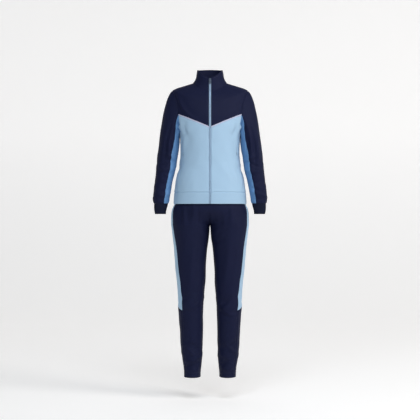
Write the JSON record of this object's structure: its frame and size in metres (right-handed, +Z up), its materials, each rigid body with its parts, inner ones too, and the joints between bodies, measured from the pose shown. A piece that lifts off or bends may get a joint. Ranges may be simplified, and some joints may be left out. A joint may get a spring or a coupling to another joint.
{
  "type": "tracksuit",
  "caption": "Women's zip-front tracksuit, jacket and trousers as worn and hollow: V yoke and stand collar in navy, light blue body and side stripes, knitted cuffs.",
  "frame": {"origin": "between the wearer's shoulders, on the middle line, level with the base of the neck, where the wearer carries the jacket", "axes": "+Z up along the standing wearer, -Y the front with the zip, +X the wearer's left"},
  "size_m": [0.5292, 0.2425, 1.433],
  "materials": {
    "navy_cloth": "smooth polyester jersey with a faint sheen",
    "light_blue_cloth": "smooth polyester jersey with a faint sheen",
    "mid_blue_cloth": "smooth polyester jersey with a faint sheen",
    "navy_knit": "matt rib knit",
    "piping_cloth": "satin piping tape",
    "zip_tape": "woven tape",
    "zip_teeth": "moulded coil",
    "grey_metal": "satin grey metal"
  },
  "bodies": {
    "suit": {"jacket_front_left": "light_blue_cloth", "jacket_front_right": "light_blue_cloth", "jacket_piping_left": "piping_cloth", "jacket_piping_right": "piping_cloth", "jacket_front_yoke_left": "navy_cloth", "jacket_front_yoke_right": "navy_cloth", "jacket_back": "light_blue_cloth", "jacket_back_yoke": "navy_cloth", "jacket_hem_band": "light_blue_cloth", "jacket_collar": "navy_cloth", "sleeve_upper_left": "navy_cloth", "sleeve_upper_right": "navy_cloth", "sleeve_under_left": "mid_blue_cloth", "sleeve_under_right": "mid_blue_cloth", "sleeve_under_lower_left": "mid_blue_cloth", "sleeve_under_lower_right": "mid_blue_cloth", "sleeve_cuff_left": "navy_knit", "sleeve_cuff_right": "navy_knit", "zip_tape_left": "zip_tape", "zip_tape_right": "zip_tape", "zip_teeth": "zip_teeth", "zip_slider": "grey_metal", "trouser_front_left": "navy_cloth", "trouser_front_right": "navy_cloth", "trouser_back_left": "navy_cloth", "trouser_back_right": "navy_cloth", "trouser_side_strip_left": "light_blue_cloth", "trouser_side_strip_right": "light_blue_cloth", "trouser_side_lower_left": "navy_cloth", "trouser_side_lower_right": "navy_cloth", "trouser_waistband": "navy_knit"},
    "pull_tab": {"zip_pull_tab": "grey_metal"}
  },
  "joints": [
    {"name": "pull_tab_hinge", "type": "hinge", "parent": "suit", "child": "pull_tab", "pos_m": [0, -0.0657, 0.04], "axis": [-1, 0, 0], "range_deg": [0, 165]}
  ]
}
